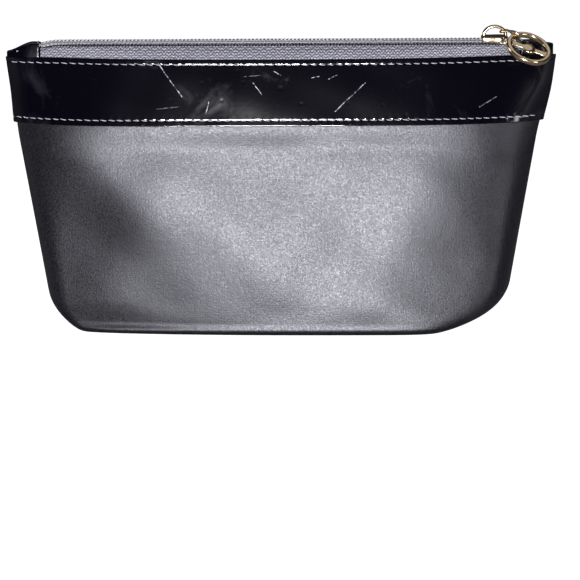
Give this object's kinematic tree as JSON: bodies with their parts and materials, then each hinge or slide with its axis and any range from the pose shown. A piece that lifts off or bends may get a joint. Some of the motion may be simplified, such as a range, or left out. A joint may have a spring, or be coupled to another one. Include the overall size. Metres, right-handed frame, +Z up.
{
  "type": "makeup bag",
  "caption": "Flat zipped pouch for makeup: satin front and back with boxed lower corners, a wide glossy band round the mouth, a coil zip along the top and a ring pull on a twisted link",
  "frame": {"origin": "on the surface the bag stands on, under the middle of its box", "axes": "X along the zip with the closed slider at +X, the front faces -Y, Z up"},
  "size_m": [0.2252, 0.05, 0.1242],
  "materials": {
    "satin": "charcoal satin weave, soft sheen",
    "patent": "black patent, high gloss, lightly scratched",
    "lining": "plain black lining",
    "fleece": "non-woven interlining",
    "thread": "dark grey polyester thread",
    "zip_tape": "woven herringbone tape",
    "zip_coil": "nylon coil",
    "gold": "polished light gold plate"
  },
  "bodies": {
    "root": {"front_panel": "satin", "back_panel": "satin", "front_interlining": "fleece", "back_interlining": "fleece", "front_lining": "lining", "back_lining": "lining", "front_facing": "lining", "front_band": "patent", "front_band_upper_stitching": "thread", "front_band_lower_stitching": "thread", "front_zip_tape": "zip_tape", "front_zip_coil": "zip_coil", "left_end_tab": "patent", "left_tab_stitching": "thread", "right_end_tab": "patent", "right_tab_stitching": "thread"},
    "back_mouth": {"back_band": "patent", "back_band_upper_stitching": "thread", "back_band_lower_stitching": "thread", "back_facing": "lining", "back_zip_tape": "zip_tape", "back_zip_coil": "zip_coil"},
    "slider": {"slider_body": "gold", "slider_bail": "gold"},
    "link": {"pull_link": "gold"},
    "ring": {"pull_ring": "gold"}
  },
  "joints": [
    {"name": "slider_slide", "type": "slide", "parent": "root", "child": "slider", "axis": [-1, 0, 0], "range_m": [0, 0.179], "deforming": ["front_zip_tape", "back_zip_tape", "front_zip_coil", "back_zip_coil"]},
    {"name": "mouth_hinge", "type": "hinge", "parent": "root", "child": "back_mouth", "pos_m": [0, 0.0131, 0.0852], "axis": [-1, 0, 0], "range_deg": [0, 35]},
    {"name": "link_hinge", "type": "hinge", "parent": "slider", "child": "link", "pos_m": [0.09108, 0, 0.12162], "axis": [0, -1, 0], "range_deg": [0, 45]},
    {"name": "ring_hinge", "type": "hinge", "parent": "link", "child": "ring", "pos_m": [0.09535, -0.00574, 0.12073], "axis": [-0.7711, -0.6243, -0.1253], "range_deg": [0, 100]}
  ],
  "couplings": [
    {"joint": "mouth_hinge", "follows": "slider_slide", "rad_per_m": 3.4}
  ]
}
